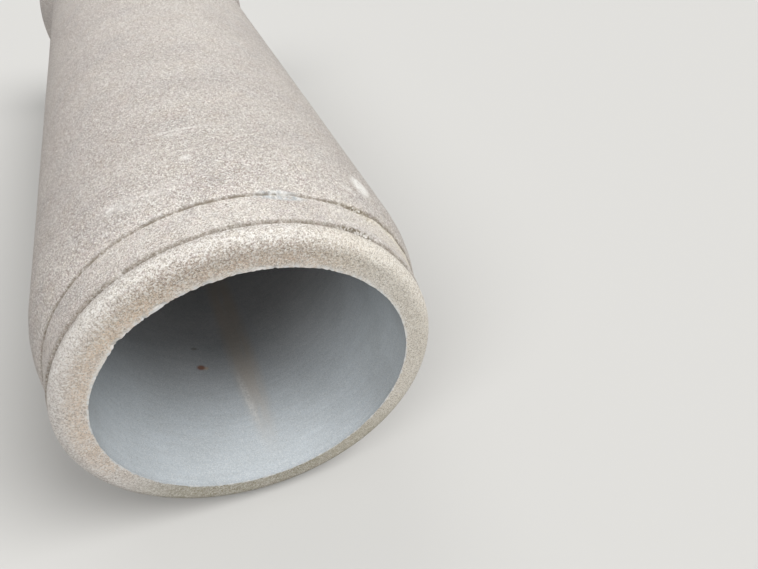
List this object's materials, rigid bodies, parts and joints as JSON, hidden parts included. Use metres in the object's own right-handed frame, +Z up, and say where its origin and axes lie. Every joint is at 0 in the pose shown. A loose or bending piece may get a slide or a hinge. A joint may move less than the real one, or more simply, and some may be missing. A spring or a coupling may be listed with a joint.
{
  "type": "concrete culvert pipe",
  "caption": "Round precast concrete culvert pipe with a thick plain wall, a stepped spigot for a gasket joint at one end and a flared bell at the other.",
  "frame": {"origin": "on the floor under the middle of the pipe as it lies", "axes": "+Z up, +Y along the pipe from the spigot to the bell, +X level across it. The pipe's own axis climbs 1.49 degrees towards the bell, because the pipe rests on its bell and on the end of its barrel."},
  "size_m": [0.9156, 2.5548, 0.9177],
  "materials": {
    "concrete": "sandy as-cast grey-beige concrete outside, smooth bluish-grey cement in the bore"
  },
  "bodies": {
    "root": {"pipe": "concrete"}
  },
  "joints": []
}
